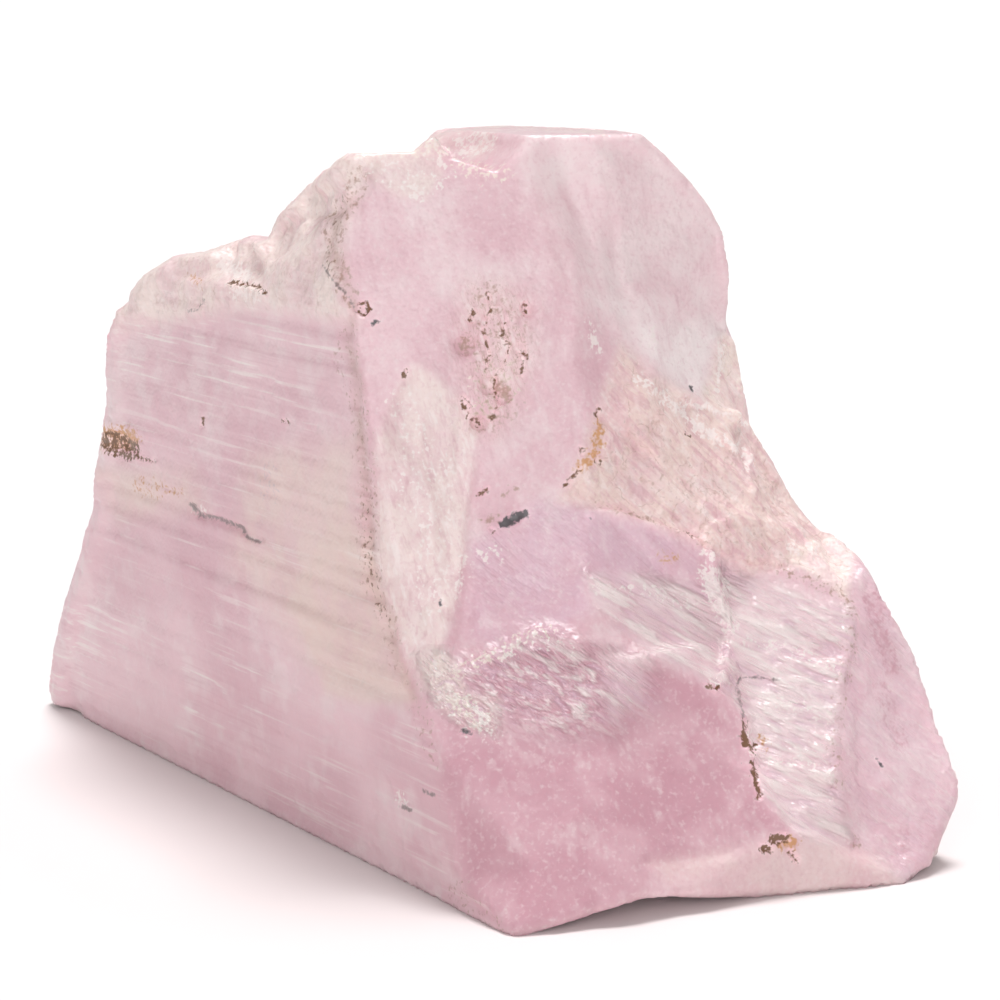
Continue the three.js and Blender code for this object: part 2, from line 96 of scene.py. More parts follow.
def to_pixels(points):
    """Where points of the crystal are seen, in pixels from the picture's top left corner."""
    off = points - CAMERA_PLACE
    depth = off @ view_forward
    across = IMAGE_SIDE / 2 + FOCAL * off[:, 0] / depth
    down = IMAGE_SIDE / 2 - FOCAL * (off @ view_up) / depth
    return np.stack([across, down], 1)


# ---- forms that belong to one place -------------------------------------------------------------
# name: (kind, half width in pixels, height, points). A rib is a rounded ridge, or a groove where its
# height is negative. A ledge drops sharply on its right-hand side, seen along its points.

FORMS = {
    "flute_left": ("rib", 5, -0.05, [(543, 190), (550, 222), (558, 249), (566, 275)]),
    "flute_middle": ("rib", 6, -0.04, [
        (567, 177), (572, 198), (585, 233), (594, 271), (601, 306), (603, 330)]),
    "rib_middle": ("rib", 5, 0.05, [(575, 160), (588, 205), (600, 250), (608, 300), (614, 325)]),
    "flute_right": ("ledge", 10, 0.08, [
        (590, 145), (601, 164), (611, 174), (615, 217), (618, 255), (622, 281), (635, 300),
        (634, 314)]),
    "crease_upper": ("ledge", 9, 0.08, [(569, 262), (571, 281), (572, 314), (567, 338)]),
    "hollow_line": ("rib", 4, -0.04, [(678, 316), (682, 351), (689, 364)]),
    "hollow_rim": ("ledge", 12, 0.08, [
        (622, 340), (638, 356), (654, 375), (676, 394), (692, 407), (700, 426), (724, 445), (743, 461),
        (745, 480)]),
    "slope_arc": ("rib", 5, 0.2, [
        (681, 394), (708, 405), (735, 421), (751, 431), (776, 470), (792, 500)]),
    "slope_fold_left": ("rib", 8, -0.24, [(605, 420), (632, 440), (668, 470), (700, 500)]),
    "slope_fold_right": ("rib", 8, 0.22, [(640, 400), (672, 432), (708, 462), (748, 494)]),
    "slope_edge": ("ledge", 10, 0.20, [
        (777, 570), (750, 573), (726, 563), (705, 549), (695, 537), (674, 528), (647, 521), (619, 511),
        (588, 508)]),
    "lobe": ("rib", 5, 0.13, [(715, 525), (736, 518), (771, 525), (781, 535), (777, 566)]),
    "step_bright": ("ledge", 9, 0.22, [(705, 549), (707, 576), (715, 600), (726, 628), (722, 659)]),
    "silk_edge_left": ("ledge", 9, -0.14, [(588, 573), (585, 594), (612, 628), (647, 652)]),
    "apron_edge": ("rib", 5, 0.10, [
        (450, 676), (478, 662), (499, 652), (536, 632), (554, 632), (574, 645), (592, 642), (619, 645),
        (647, 652), (667, 659), (688, 673), (712, 687)]),
    "cliff_edge": ("ledge", 8, 0.16, [
        (784, 828), (771, 811), (759, 793), (755, 766), (750, 742), (743, 721), (729, 700),
        (712, 687)]),
    "silk_edge_right": ("rib", 5, 0.10, [
        (853, 611), (850, 645), (841, 687), (836, 749), (836, 783), (850, 842)]),
    "corner_triangle": ("rib", 4, 0.10, [(784, 556), (805, 573), (846, 600)]),
    "veil_edge": ("ledge", 8, 0.12, [(455, 604), (461, 575), (464, 548), (466, 520), (474, 470)]),
    "veil_top": ("rib", 6, 0.08, [(378, 440), (390, 400), (412, 365), (430, 372), (455, 395)]),
    "hem_line": ("rib", 6, -0.10, [(647, 862), (715, 855), (757, 842)]),
    "base_bevel": ("rib", 3, -0.08, [
        (69, 718), (136, 756), (231, 807), (295, 842), (359, 874), (455, 922)]),
    "crack": ("rib", 3, -0.10, [
        (193, 506), (199, 515), (219, 519), (241, 528), (247, 538), (258, 541)]),
    "shoulder_fold": ("rib", 5, 0.12, [(190, 268), (215, 262), (240, 268), (268, 262)]),
    "shoulder_fold_high": ("rib", 5, -0.14, [(282, 235), (300, 222), (325, 215), (343, 208)]),
    "ridge_groove": ("rib", 6, -0.10, [
        (352, 200), (340, 216), (333, 241), (340, 270), (354, 308), (346, 340), (359, 388), (356, 407),
        (362, 455), (367, 503), (368, 535), (372, 592), (388, 616), (397, 660), (416, 699), (429, 737),
        (437, 762)]),
}

# The crystal's outline in the picture, from the foot of its left end, over the top, to the foot of its
# right end.
OUTLINE = [
    (54, 712), (49, 688), (54, 646), (64, 606), (81, 553), (84, 535), (94, 509), (93, 479), (102, 435),
    (107, 400), (105, 364), (107, 322), (111, 310), (119, 306), (129, 305), (131, 291), (145, 274),
    (175, 256), (206, 252), (240, 240), (255, 234), (268, 240), (279, 215), (310, 185), (335, 163),
    (347, 154), (413, 152), (437, 130), (461, 127), (496, 123), (602, 130), (641, 134), (666, 156),
    (691, 183), (710, 208), (723, 234), (730, 275), (727, 298), (725, 331), (734, 341), (738, 362),
    (746, 406), (750, 427), (771, 460), (792, 499), (806, 518), (820, 532), (833, 534), (860, 556),
    (874, 582), (913, 653), (938, 729), (953, 764), (959, 783), (957, 802), (936, 851),
]

# ---- zones of the surface -----------------------------------------------------------------------
# name: (softness of the edge in pixels, corners)

ZONES = {
    "shoulder": (13, [
        (108, 330), (122, 296), (145, 262), (206, 240), (255, 222), (282, 200), (312, 170), (345, 145),
        (372, 165), (352, 215), (340, 240), (345, 290), (358, 325), (330, 318), (262, 308),
        (190, 318)]),
    "peak_cream": (7, [(350, 146), (445, 146), (441, 175), (424, 200), (402, 198), (372, 182)]),
    "block": (24, [
        (500, 125), (641, 134), (690, 183), (725, 240), (730, 290), (722, 335), (640, 345), (600, 330),
        (560, 270), (530, 180)]),
    "block_cream": (8, [(420, 140), (500, 122), (496, 150), (478, 160), (440, 150)]),
    "veil": (7, [
        (412, 365), (430, 372), (455, 395), (480, 425), (474, 470), (466, 520), (464, 560), (455, 604),
        (440, 650), (452, 690), (420, 690), (392, 620), (376, 560), (374, 500), (376, 440),
        (390, 400)]),
    "veil_foot": (7, [
        (418, 655), (446, 650), (470, 690), (500, 700), (500, 735), (462, 728), (432, 700)]),
    "prism_pale": (22, [
        (250, 455), (355, 440), (372, 560), (410, 700), (330, 690), (290, 640), (230, 560)]),
    "prism_pale_foot": (4, [
        (290, 600), (340, 500), (368, 540), (392, 616), (416, 701), (359, 703), (327, 692)]),
    "ridge": (5, [
        (352, 196), (338, 216), (330, 241), (336, 270), (350, 308), (343, 340), (354, 388), (352, 407),
        (358, 455), (363, 503), (364, 535), (368, 592), (384, 618), (393, 662), (412, 700), (420, 698),
        (401, 658), (392, 614), (377, 590), (373, 535), (371, 503), (366, 455), (361, 407), (364, 388),
        (351, 340), (359, 306), (345, 268), (337, 241), (344, 218), (358, 200)]),
    "prism_stain": (16, [(100, 470), (190, 470), (205, 510), (120, 520)]),
    "striae_top": (22, [(115, 316), (345, 322), (350, 408), (110, 405)]),
    "striae_dark": (14, [(118, 505), (210, 520), (230, 610), (112, 605)]),
    "striae_corner": (12, [(62, 600), (126, 600), (126, 705), (52, 690)]),
    "striae_low": (14, [(180, 655), (275, 668), (275, 745), (180, 740)]),
    "end_pale": (14, [(95, 330), (125, 330), (130, 430), (95, 470)]),
    # A pale hollow, brightened further with painted light, since it lies in shade.
    "hollow_pale_and_painted_light": (22, [
        (600, 300), (640, 300), (700, 330), (720, 330), (716, 400), (680, 390), (640, 350)]),
    "slope": (9, [
        (560, 500), (575, 472), (600, 400), (622, 345), (655, 375), (700, 405), (722, 335), (745, 350),
        (760, 440), (800, 500), (840, 530), (800, 566), (750, 573), (705, 549), (647, 521),
        (600, 508)]),
    "slope_rim": (6, [
        (700, 400), (724, 335), (742, 350), (758, 435), (800, 500), (790, 505), (750, 450)]),
    "mauve": (12, [
        (470, 545), (540, 500), (600, 512), (650, 524), (703, 549), (700, 590), (640, 575), (586, 575),
        (590, 610), (560, 632), (500, 650), (466, 640)]),
    "silk": (8, [
        (584, 572), (640, 576), (704, 590), (716, 560), (742, 580), (850, 606), (852, 640), (838, 700),
        (836, 770), (850, 846), (800, 838), (764, 790), (752, 720), (730, 698), (690, 668), (645, 650),
        (606, 615)]),
    "corner_cream": (5, [(784, 556), (800, 545), (836, 535), (850, 562), (848, 602), (806, 574)]),
    "apron": (14, [
        (450, 680), (500, 655), (560, 635), (640, 655), (700, 682), (742, 720), (760, 795), (790, 830),
        (650, 868), (640, 900), (512, 942), (470, 900), (440, 780)]),
    "apron_streaks": (26, [
        (452, 670), (500, 654), (545, 636), (590, 650), (640, 660), (655, 700), (610, 725), (560, 735),
        (500, 715)]),
    "apron_pale": (12, [(600, 655), (648, 655), (642, 700), (612, 722)]),
    "right_end": (10, [
        (852, 560), (880, 580), (940, 700), (965, 790), (910, 890), (860, 850), (840, 770), (842, 690),
        (856, 620)]),
    "prism_foot": (4, [
        (60, 718), (136, 754), (231, 805), (359, 873), (470, 929), (500, 946), (455, 936), (231, 830),
        (60, 740)]),
    "hem": (10, [(650, 862), (760, 842), (800, 836), (880, 855), (910, 895), (690, 905)]),
    "pit_cluster": (24, [
        (470, 285), (505, 285), (532, 305), (530, 360), (512, 410), (495, 435), (468, 428), (462, 380),
        (456, 330)]),
}

# ---- small markings -----------------------------------------------------------------------------
# kind: {name: (half width in pixels, share of the surface it covers, points)}

MARKS = {}
MARKS["brown"] = {
    "prism_stain": (11, 0.66, [(113, 441), (120, 446), (128, 450)]),
    "prism_stain_tail": (2.5, 1.0, [(134, 454), (142, 460), (152, 461)]),
    "prism_tick": (2, 0.9, [(203, 418), (203, 426)]),
    "prism_tick_small": (1.6, 0.7, [(284, 421), (289, 422)]),
    "shoulder_dark": (2.2, 0.9, [(232, 285), (246, 285), (260, 288), (268, 293)]),
    "ring_pit": (2, 0.7, [(360, 305), (366, 303), (369, 310), (364, 315), (360, 311)]),
    "veil_dash": (2, 0.7, [(403, 377), (406, 370)]),
    "pit_chain_dark": (9, 0.24, [(484, 300), (489, 322), (484, 350), (486, 372), (497, 392), (490, 418)]),
    "pit_high": (2.6, 0.8, [(473, 312), (471, 320)]),
    "pit_right": (2.6, 0.7, [(525, 305), (527, 313)]),
    "pit_right_low": (2, 0.7, [(524, 352), (527, 358)]),
    "pit_end": (3.5, 0.9, [(473, 421), (478, 424)]),
    "pit_edge": (2.4, 0.8, [(462, 404), (465, 408)]),
    "pit_crack_a": (1.4, 0.6, [(487, 292), (490, 310), (483, 330), (489, 352), (486, 368)]),
    "pit_crack_b": (1.4, 0.6, [(497, 372), (493, 388), (500, 402), (491, 420)]),
    "pit_crack_c": (1.2, 0.6, [(506, 318), (502, 334), (509, 348), (504, 366)]),
    "pit_crack_d": (1.2, 0.6, [(517, 350), (523, 362), (521, 376)]),
    "pit_crack_e": (1.2, 0.6, [(463, 396), (470, 406), (467, 418)]),
    "arc_top": (2.4, 0.9, [(599, 408), (597, 414)]),
    "arc_tail": (1.6, 0.7, [(582, 466), (574, 475), (563, 487)]),
    "arc_speck_left": (2, 0.9, [(580, 448), (582, 455)]),
    "arc_speck_right": (2.5, 0.9, [(596, 462), (600, 464)]),
    "crescent_left": (2.2, 0.9, [(479, 494), (483, 493), (487, 488)]),
    "speck_a": (2.2, 0.9, [(491, 529), (493, 531)]),
    "speck_c": (2.0, 0.9, [(688, 534), (692, 537)]),
    "speck_f": (1.8, 0.8, [(683, 434), (689, 436)]),
    "crescent_edge": (2.2, 0.9, [(707, 686), (712, 690), (718, 688)]),
    "cliff_brown_a": (4.5, 1.0, [(745, 722), (744, 736), (745, 745)]),
    "cliff_brown_b": (2.5, 0.9, [(748, 748), (753, 754), (757, 744)]),
    "cliff_brown_c": (4.2, 1.0, [(753, 764), (755, 776), (759, 797)]),
    "hem_stain": (6, 0.7, [(774, 840), (784, 838)]),
    "hem_stain_left": (4, 0.9, [(762, 848), (769, 849)]),
    "hem_stain_low": (3.5, 0.9, [(790, 852), (796, 860)]),
    "ridge_brown_top": (4, 0.36, [(350, 196), (340, 216), (334, 241), (338, 270)]),
    "ridge_brown_mid": (3, 0.3, [(360, 407), (361, 450), (367, 500)]),
    "ridge_brown_low": (3.5, 0.4, [(367, 500), (368, 552), (373, 593), (384, 619)]),
}
MARKS["rust"] = {
    "prism_stain_head": (14, 1.0, [(112, 438), (126, 440)]),
    "prism_smudge_low": (9, 0.45, [(142, 486), (154, 490)]),
    "prism_smudge_dash": (3, 0.5, [(168, 490), (179, 491)]),
    "shoulder_speck": (3, 0.6, [(197, 282), (203, 285)]),
    "arc_stain": (6, 0.95, [(600, 424), (598, 440), (592, 458), (580, 466)]),
    "red_specks": (5, 0.5, [(664, 555), (674, 560)]),
    "cliff_rust": (4, 0.7, [(762, 736), (764, 752)]),
    "hem_stain_rust": (8, 0.95, [(784, 844), (792, 843)]),
}
MARKS["dust"] = {
    "ridge_dust_top": (8, 0.5, [(362, 176), (352, 200), (340, 216), (333, 241), (340, 270), (352, 300)]),
    "ridge_dust_mid": (9, 0.36, [(352, 330), (344, 360), (356, 385), (358, 410), (362, 440)]),
    "ridge_dust_low": (9, 0.4, [(362, 440), (367, 503), (367, 535), (372, 592), (386, 616)]),
    "ridge_dust_foot": (6, 0.36, [(386, 616), (397, 660), (416, 699), (429, 737), (437, 762)]),
    "pit_chain": (13, 0.46, [(490, 296), (491, 314), (486, 343), (485, 367), (492, 395), (488, 422)]),
    "pit_wide": (22, 0.34, [(500, 310), (505, 350), (500, 400)]),
    "pit_left": (6, 0.9, [(465, 342), (466, 350)]),
    "pit_low": (8, 0.85, [(497, 386), (506, 394)]),
    "inclusion_smudge": (7, 0.7, [(486, 518), (497, 521)]),
    "crescent_right": (3, 0.7, [(505, 495), (511, 491), (516, 488)]),
    "silk_brown_high": (6, 0.4, [(851, 612), (850, 645), (843, 680)]),
    "silk_brown_low": (6, 0.42, [(838, 700), (836, 749), (837, 783)]),
    "silk_brown_end": (4, 0.6, [(856, 842), (860, 848)]),
    "shoulder_crumbs": (22, 0.16, [(190, 285), (250, 275), (300, 250), (330, 210)]),
    "slope_crumbs": (26, 0.2, [(620, 440), (670, 470), (740, 500), (780, 540)]),
    "boundary_line": (2.0, 0.5, [(595, 504), (633, 514), (681, 530), (705, 545)]),
    "rim_brown": (4, 0.5, [(781, 570), (815, 582), (846, 597), (853, 618)]),
    "hem_smear": (10, 0.36, [(458, 890), (474, 910), (492, 928)]),
}
MARKS["dark"] = {
    "ring_pit_side": (2, 0.9, [(371, 325), (377, 321)]),
    "inclusion": (5.4, 1.0, [(503, 524), (513, 519), (525, 514)]),
    "speck_b": (1.6, 0.9, [(588, 518), (591, 518)]),
    "speck_d": (1.8, 0.8, [(440, 600), (440, 605)]),
    "speck_e": (2.0, 0.8, [(690, 386), (691, 392)]),
    "foot_dark": (2.5, 0.8, [(462, 731), (471, 733)]),
    "end_fleck": (2.2, 0.8, [(877, 759), (881, 765)]),
    "apron_scratch": (1.2, 0.4, [(727, 757), (738, 764), (752, 772)]),
}
MARKS["grey"] = {
    "crack": (2.6, 0.9, [(190, 504), (199, 515), (219, 519), (241, 528), (247, 538), (260, 542)]),
    "prism_arc": (1.4, 0.9, [(193, 311), (203, 310), (209, 299)]),
    "prism_fleck": (2.6, 0.9, [(402, 806), (410, 810)]),
    "prism_fleck_far": (2.4, 0.7, [(425, 791), (434, 795)]),
    "ridge_brown_arc": (1.6, 0.8, [(327, 267), (336, 280), (348, 296), (356, 311)]),
    "fibre": (1.9, 0.9, [(779, 680), (758, 677), (740, 678), (736, 687), (741, 700), (745, 721)]),
}
MARKS["blue"] = {
    "blue_smudge": (8, 0.45, [(270, 474), (271, 495)]),
}
# Pale flakes, crumbs and lines; the marks named glint are painted highlights.
MARKS["white"] = {
    "crack_white": (2.5, 0.8, [(196, 509), (204, 512)]),
    "shoulder_glint": (7, 0.8, [(228, 268), (238, 274), (248, 279)]),
    "shoulder_glint_low": (5, 0.6, [(238, 293), (262, 296)]),
    "flake_line": (2.5, 0.7, [(720, 343), (720, 367), (716, 394)]),
    "flute_glint": (3, 0.7, [(589, 327), (594, 343), (601, 351)]),
    "hollow_glint": (1.8, 0.5, [(653, 330), (653, 346)]),
    "veil_edge_glint": (3, 0.8, [(463, 560), (461, 575), (457, 595)]),
    "mauve_glint_a": (2.5, 0.7, [(478, 551), (487, 561)]),
    "mauve_glint_b": (2, 0.6, [(493, 548), (500, 556)]),
    "step_glint_high": (7, 1.0, [(706, 574), (710, 585), (716, 600)]),
    "step_glint_mid": (5, 0.9, [(720, 580), (722, 594)]),
    "step_glint_low": (6.5, 1.0, [(716, 602), (724, 616), (731, 630)]),
    "step_line": (2, 0.7, [(705, 549), (706, 576)]),
    "corner_glint": (4, 0.9, [(792, 545), (795, 553)]),
    "corner_glint_far": (3, 0.8, [(812, 549), (815, 554)]),
    "foot_white": (5, 0.9, [(476, 708), (482, 720), (487, 730)]),
    "crescent_white": (3, 0.9, [(710, 682), (716, 684)]),
    "cliff_white": (5, 1.0, [(750, 736), (753, 746), (752, 752)]),
    "prism_fleck_white": (3.5, 0.9, [(399, 797), (404, 802)]),
    "slope_white_arc": (2.5, 0.85, [(662, 402), (703, 407), (743, 426)]),
    "slope_white_fold": (3, 0.8, [(697, 431), (729, 445), (745, 461), (744, 469)]),
    "slope_white_edge": (4, 0.75, [(640, 380), (668, 398), (692, 420), (716, 440)]),
    "mauve_white_a": (5, 0.4, [(500, 655), (530, 640), (570, 650)]),
    "veil_white_a": (12, 0.36, [(400, 400), (420, 440), (410, 500)]),
    "veil_white_b": (14, 0.38, [(440, 470), (435, 540), (430, 600)]),
    "foot_crumbs": (14, 0.27, [(450, 700), (470, 715), (485, 730)]),
    "peak_crumbs": (16, 0.36, [(380, 165), (420, 180), (440, 165)]),
    "block_crumbs": (7, 0.6, [(462, 150), (478, 146), (490, 141)]),
    "silk_white_a": (5, 0.45, [(600, 590), (640, 590), (690, 602)]),
    "silk_white_b": (4, 0.45, [(745, 640), (790, 650), (835, 668)]),
    "silk_white_c": (4, 0.45, [(760, 700), (795, 705), (830, 718)]),
    "silk_white_d": (5, 0.5, [(770, 760), (800, 762), (828, 775)]),
    "peak_glint_a": (5, 0.7, [(410, 188), (420, 196)]),
    "peak_glint_b": (4, 0.7, [(436, 160), (443, 166)]),
}
MARKS["cream"] = {
    "pit_chain_pale": (9, 0.36, [(480, 380), (500, 365), (510, 390), (484, 408)]),
    "apron_cream_a": (4, 0.6, [(456, 674), (478, 662), (499, 654)]),
    "apron_cream_b": (5, 0.55, [(499, 654), (520, 640), (536, 634), (552, 634)]),
    "foot_cream": (10, 0.7, [(458, 702), (472, 710), (482, 722)]),
    "top_sliver": (3, 0.9, [(437, 128), (500, 122), (600, 130)]),
    "left_top_sliver": (3, 0.7, [(345, 154), (400, 153), (448, 152)]),
    "rim_cream": (5, 0.6, [(743, 378), (761, 445), (794, 498)]),
    "notch_crumbs": (7, 0.5, [(455, 162), (478, 172), (502, 175)]),
}
MARKS["rose"] = {
    "end_fleck_low": (6, 0.7, [(905, 832), (904, 848)]),
    "end_streak_high": (10, 0.85, [(872, 600), (882, 640), (892, 668)]),
    "end_streak_mid": (10, 0.6, [(880, 690), (900, 740)]),
    "veil_pink": (14, 0.3, [(450, 430), (455, 500), (440, 560)]),
}


# ---- distances in the picture -------------------------------------------------------------------

def segment_distance(pixels, start, end):
    """Distance from each pixel to a segment, and on which side of it the pixel lies."""
    run = np.subtract(end, start).astype(float)
    off = pixels - start
    along = np.clip(off @ run / (run @ run), 0, 1)
    distance = lengths(off - along[:, None] * run)
    side = np.sign(run[0] * off[:, 1] - run[1] * off[:, 0])
    return distance, side


def line_distance(pixels, points):
    """Distance from each pixel to a line of several points, and on which side it lies."""
    best = np.full(len(pixels), 1e9)
    best_side = np.ones(len(pixels))
    for start, end in zip(points[:-1], points[1:]):
        distance, side = segment_distance(pixels, start, end)
        closer = distance < best
        best[closer] = distance[closer]
        best_side[closer] = side[closer]
    return best, best_side


def inside_zone(pixels, softness, corners):
    """1 inside a zone, 0 outside, with a soft edge."""
    inside = np.zeros(len(pixels), bool)
    x, y = pixels.T
    closed = list(zip(corners, corners[1:] + corners[:1]))
    for (x0, y0), (x1, y1) in closed:
        if y0 != y1:
            crosses = (y0 > y) != (y1 > y)
            inside ^= crosses & (x < (x1 - x0) * (y - y0) / (y1 - y0) + x0)
    distance, _ = line_distance(pixels, corners + corners[:1])
    return smooth_step(np.where(inside, distance, -distance), -softness, softness)


def smooth_step(values, low, high):
    t = np.clip((values - low) / (high - low), 0, 1)
    return t * t * (3 - 2 * t)


# ---- noise --------------------------------------------------------------------------------------

# The lattice lies across every face, so that its cells do not show.
LATTICE_TURN = np.array(Euler((0.6, 0.9, 0.4)).to_matrix())


def lattice_value(cell, seed):
    """A repeatable value from 0 to 1 for each whole-number cell."""
    mixed = cell.astype(np.int64) @ np.array([374761393, 668265263, 2147483647]) + seed * 974634777
    mixed = (mixed ^ (mixed >> 13)) * 1274126177
    mixed = mixed ^ (mixed >> 16)
    return (mixed & 0xFFFFFF) / 0xFFFFFF


def value_noise(points, seed):
    """Smooth noise from -1 to 1 with features one unit wide."""
    points = points @ LATTICE_TURN
    cell = np.floor(points).astype(np.int64)
    part = points - cell
    part = part * part * part * (part * (part * 6 - 15) + 10)
    total = np.zeros(len(points))
    for corner in np.ndindex(2, 2, 2):
        weight = np.prod(np.where(corner, part, 1 - part), axis=1)
        total += weight * lattice_value(cell + np.array(corner), seed)
    return total * 2 - 1


def layered_noise(points, seed, layers=4, roughness=0.5):
    total = np.zeros(len(points))
    strength, reach = 1.0, 0.0
    for layer in range(layers):
        total += strength * value_noise(points * 2.0 ** layer + 17.3 * layer, seed + layer)
        reach += strength
        strength *= roughness
    return total / reach


def ridged_noise(points, seed, layers=3):
    """Noise with sharp crests, from 0 to 1."""
    total = np.zeros(len(points))
    strength, reach = 1.0, 0.0
    for layer in range(layers):
        crest = 1 - np.abs(value_noise(points * 2.0 ** layer + 9.1 * layer, seed + layer))
        total += strength * crest ** 2
        reach += strength
        strength *= 0.5
    return total / reach


def drawn_out(points, run, length, width):
    """Points in a frame where noise becomes streaks of that length and width along the run."""
    run = run / np.linalg.norm(run)
    along = points @ run
    across = points - along[:, None] * run
    return across / width + (along / length)[:, None] * run


# ---- the fine mesh ------------------------------------------------------------------------------

def even_mesh(node):
    """Points in millimetres and triangles of a CAD node's surface, laid out evenly."""
    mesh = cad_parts[node].data.copy()
    points = np.zeros(len(mesh.vertices) * 3)
    mesh.vertices.foreach_get("co", points)
    mesh.vertices.foreach_set("co", points / MM)
    carrier = bpy.data.objects.new("carrier", mesh)
    bpy.context.scene.collection.objects.link(carrier)
    remesh = carrier.modifiers.new("even", "REMESH")
    remesh.mode = "VOXEL"
    remesh.voxel_size = EVEN_EDGE
    even = carrier.evaluated_get(bpy.context.evaluated_depsgraph_get()).to_mesh()
    even.calc_loop_triangles()
    points = np.zeros(len(even.vertices) * 3)
    even.vertices.foreach_get("co", points)
    faces = np.zeros(len(even.loop_triangles) * 3, int)
    even.loop_triangles.foreach_get("vertices", faces)
    bpy.data.objects.remove(carrier)
    bpy.data.meshes.remove(mesh)
    return points.reshape(-1, 3), faces.reshape(-1, 3)


def lengths(vectors):
    return np.linalg.norm(vectors, axis=1)


def face_normals(points, faces):
    a, b, c = points[faces[:, 0]], points[faces[:, 1]], points[faces[:, 2]]
    return np.cross(b - a, c - a)


def point_normals(points, faces):
    total = np.zeros_like(points)
    normals = face_normals(points, faces)
    for corner in range(3):
        np.add.at(total, faces[:, corner], normals)
    return total / np.maximum(np.linalg.norm(total, axis=1, keepdims=True), 1e-12)


def edge_list(faces):
    """Every edge once, and for each triangle's three edges their place in that list."""
    pairs = np.sort(np.concatenate([faces[:, [0, 1]], faces[:, [1, 2]], faces[:, [2, 0]]]), axis=1)
    edges, where = np.unique(pairs, axis=0, return_inverse=True)
    return edges, where.reshape(3, -1)


def split_triangles(faces, middle, points):
    """Divides triangles at the middles of their marked edges. middle is -1 where an edge stays."""
    kept = []
    count = (middle >= 0).sum(0)
    kept.append(faces[count == 0])
    for turn in range(3):
        a, b, c = (faces[:, (turn + k) % 3] for k in range(3))
        ab, bc, ca = (middle[(turn + k) % 3] for k in range(3))
        one = (count == 1) & (ab >= 0)
        kept.append(np.stack([a, ab, c], 1)[one])
        kept.append(np.stack([ab, b, c], 1)[one])
        two = (count == 2) & (ca < 0)
        kept.append(np.stack([ab, b, bc], 1)[two])
        short = lengths(points[a] - points[bc]) < lengths(points[ab] - points[c])
        kept.append(np.stack([a, ab, bc], 1)[two & short])
        kept.append(np.stack([a, bc, c], 1)[two & short])
        kept.append(np.stack([a, ab, c], 1)[two & ~short])
        kept.append(np.stack([ab, bc, c], 1)[two & ~short])
    three = count == 3
    a, b, c = faces.T
    ab, bc, ca = middle
    for corner in ((a, ab, ca), (ab, b, bc), (ca, bc, c), (ab, bc, ca)):
        kept.append(np.stack(corner, 1)[three])
    return np.concatenate(kept)


def divided(points, faces, longest):
    """Splits the edges that are longer than longest(points, faces, edges, where, middles) says."""
    for _ in range(DIVIDE_ROUNDS):
        edges, where = edge_list(faces)
        ends = points[edges]
        middles = ends.mean(1)
        length = lengths(ends[:, 0] - ends[:, 1])
        split = length > longest(points, faces, edges, where, middles)
        number = np.where(split, len(points) + np.cumsum(split) - 1, -1)
        points = np.concatenate([points, middles[split]])
        faces = split_triangles(faces, number[where], points)
    return points, faces


def wanted_edge(points, faces, edges, where, middles):
    """The mesh is divided again on the near faces, and again beside the markings."""
    length = lengths(points[edges[:, 0]] - points[edges[:, 1]])
    near_face = ((CAMERA_PLACE - points[faces].mean(1)) * face_normals(points, faces)).sum(1) > 0
    near = np.zeros(len(edges), bool)
    for side in where:
        near[side[near_face]] = True
    wanted = np.where(near, NEAR_EDGE, FAR_EDGE)
    candidates = np.flatnonzero(near & (length > THIN_EDGE))
    pixels = to_pixels(middles[candidates])
    lines = [(width, line) for marks in MARKS.values() for width, _, line in marks.values()]
    for width, line in lines + [(OUTLINE_REACH, OUTLINE)]:
        reach = width + MARK_REACH
        close = ((pixels > np.min(line, 0) - reach) & (pixels < np.max(line, 0) + reach)).all(1)
        distance, _ = line_distance(pixels[close], line)
        beside = candidates[close][distance < reach]
        wanted[beside] = np.minimum(wanted[beside], THIN_EDGE if width < THIN_MARK else MARKED_EDGE)
    return wanted


def neighbour_mean(values, edges, count):
    total = np.zeros((len(count),) + values.shape[1:])
    np.add.at(total, edges[:, 0], values[edges[:, 1]])
    np.add.at(total, edges[:, 1], values[edges[:, 0]])
    return total / count.reshape((-1,) + (1,) * (values.ndim - 1))


def blurred(values, edges, count, rounds):
    for _ in range(rounds):
        values = (values + neighbour_mean(values, edges, count)) / 2
    return values


def seen_from_camera(points, faces, normals):
    """1 where the camera sees the surface, 0 where it doesn't."""
    tree = BVHTree.FromPolygons([Vector(p) for p in points], faces.tolist())
    eye = Vector(CAMERA_PLACE)
    seen = np.zeros(len(points))
    facing = ((CAMERA_PLACE - points) * normals).sum(1) > 0
    for i in np.flatnonzero(facing):
        target = Vector(points[i])
        way = target - eye
        hit = tree.ray_cast(eye, way.normalized(), way.length - 0.3)
        seen[i] = hit[0] is None
    return seen


# ---- relief -------------------------------------------------------------------------------------

RELAX_ROUNDS = 4
OUTLINE_ROUNDS = 2
UNDERSIDE = 0.04  # a point below this height is part of the flat underside
WEAR = 0.5  # share of the way to its neighbours' mean that a point is worn
CLOUD_SIZE = 4.5
MOTTLE_SIZE = 1.5
PRISM_STRIA_HEIGHT = 0.11
SILK_STEP_HEIGHT = 0.09
SILK_FINE_HEIGHT = 0.03
SILK_BEND = 0.35
SHOULDER_SWELL = 0.16
LUMP_HEIGHT = 0.07
CHIP_DEPTH = 0.1
BROWN_DENT = 0.10
DARK_DENT = 0.06

# zone: height of its crumbs, their size, seed
CRUMBS = {
    "slope": (0.26, 1.7, 21),
    "shoulder": (0.22, 1.5, 31),
    "pit_cluster": (0.14, 0.8, 41),
    "corner_cream": (0.3, 1.1, 45),
    "right_end": (0.16, 1.2, 51),
}


